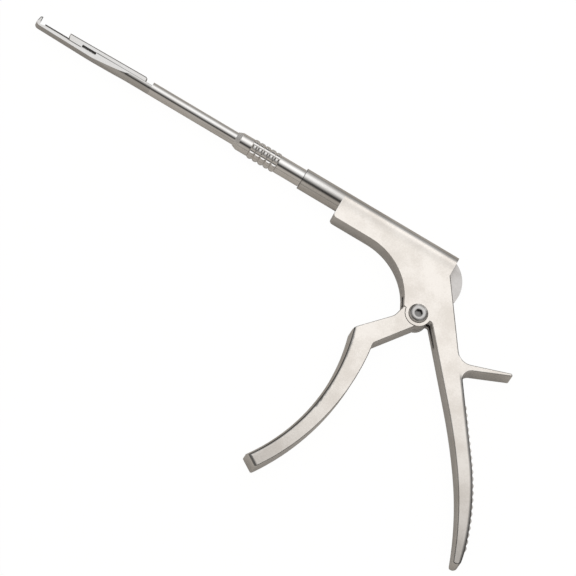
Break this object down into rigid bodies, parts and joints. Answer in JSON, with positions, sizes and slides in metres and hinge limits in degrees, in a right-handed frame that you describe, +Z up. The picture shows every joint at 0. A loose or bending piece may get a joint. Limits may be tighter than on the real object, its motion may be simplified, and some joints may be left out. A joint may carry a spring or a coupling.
{
  "type": "bone rongeur",
  "caption": "Pistol-grip bone rongeur with a turnable slender shaft, sliding upper jaw, upturned footplate, spring-return trigger and ridged palm handle with a thumb spur",
  "frame": {"origin": "on the trigger's pivot axis, in the plane of the resting side", "axes": "+X along the shaft from the jaws towards the rear, +Y away from the handles, +Z up out of the resting side along the pivot axis"},
  "size_m": [0.271, 0.1303, 0.0107],
  "materials": {
    "satin_forging": "fine satin, bead-blasted and brushed",
    "satin_trigger": "fine satin",
    "pivot_steel": "turned and polished",
    "bush_bronze": "plain turned bearing bronze",
    "polished_sleeve": "turned and polished",
    "polished_shaft": "polished",
    "polished_jaw": "polished",
    "inner_steel": "turned",
    "spring_steel": "drawn spring wire",
    "seal_rubber": "matte"
  },
  "bodies": {
    "body": {"fixed_handle": "satin_forging", "pivot_screw": "pivot_steel", "pivot_nut": "pivot_steel", "barrel_bush": "bush_bronze"},
    "shaft": {"rotation_sleeve": "polished_sleeve", "friction_ring": "seal_rubber", "thrust_washer": "inner_steel", "retaining_ring": "inner_steel", "outer_tube": "polished_shaft", "rod_guide": "bush_bronze", "lower_jaw": "polished_jaw", "spring_washer": "inner_steel"},
    "jaw": {"upper_jaw": "polished_jaw", "jaw_pin": "inner_steel", "push_rod": "inner_steel", "rod_head": "inner_steel", "lock_nut": "inner_steel", "return_spring": "spring_steel"},
    "trigger": {"trigger": "satin_trigger", "trigger_bush": "bush_bronze"}
  },
  "joints": [
    {"name": "trigger_squeeze", "type": "hinge", "parent": "body", "child": "trigger", "pos_m": [0, 0, 0.00485], "axis": [0, 0, 1], "range_deg": [0, 28], "stiffness_Nm_per_rad": 0.5, "springref_deg": -17.19},
    {"name": "shaft_rotation", "type": "hinge", "parent": "body", "child": "shaft", "pos_m": [-0.0714, 0.0277, 0.00485], "axis": [1, 0, 0], "continuous": true},
    {"name": "jaw_slide", "type": "slide", "parent": "shaft", "child": "jaw", "axis": [-1, 0, 0], "range_m": [0, 0.0134], "deforming": ["return_spring"]}
  ],
  "couplings": [
    {"joint": "jaw_slide", "follows": "trigger_squeeze", "m_per_rad": 0.02742}
  ]
}
